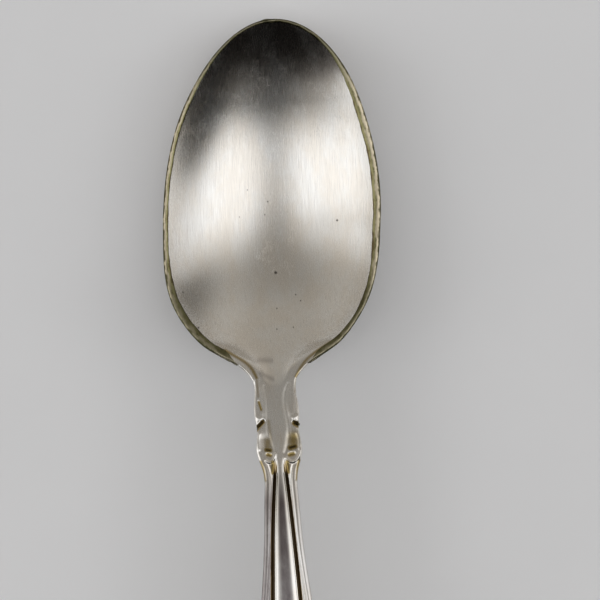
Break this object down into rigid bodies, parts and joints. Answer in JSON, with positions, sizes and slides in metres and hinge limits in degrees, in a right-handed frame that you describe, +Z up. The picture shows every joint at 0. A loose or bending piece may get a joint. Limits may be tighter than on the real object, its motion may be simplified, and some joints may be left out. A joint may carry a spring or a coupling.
{
  "type": "spoon",
  "caption": "silver-plated teaspoon with an egg-shaped bowl, a scrolled neck and a threaded handle, lying on its back",
  "frame": {"origin": "Under the middle of the spoon's bounding box, on the plane that the back of the bowl and the end of the handle rest on.", "axes": "+X across the spoon, +Y along it with the bowl's tip at +Y and the handle's end at -Y, +Z up out of the bowl."},
  "size_m": [0.032, 0.1519, 0.0161],
  "materials": {
    "nickel_silver": "worn satin",
    "silver": "polished with fine scratches"
  },
  "bodies": {
    "root": {"nickel_silver_blank": "nickel_silver", "silver_plating": "silver"}
  },
  "joints": []
}
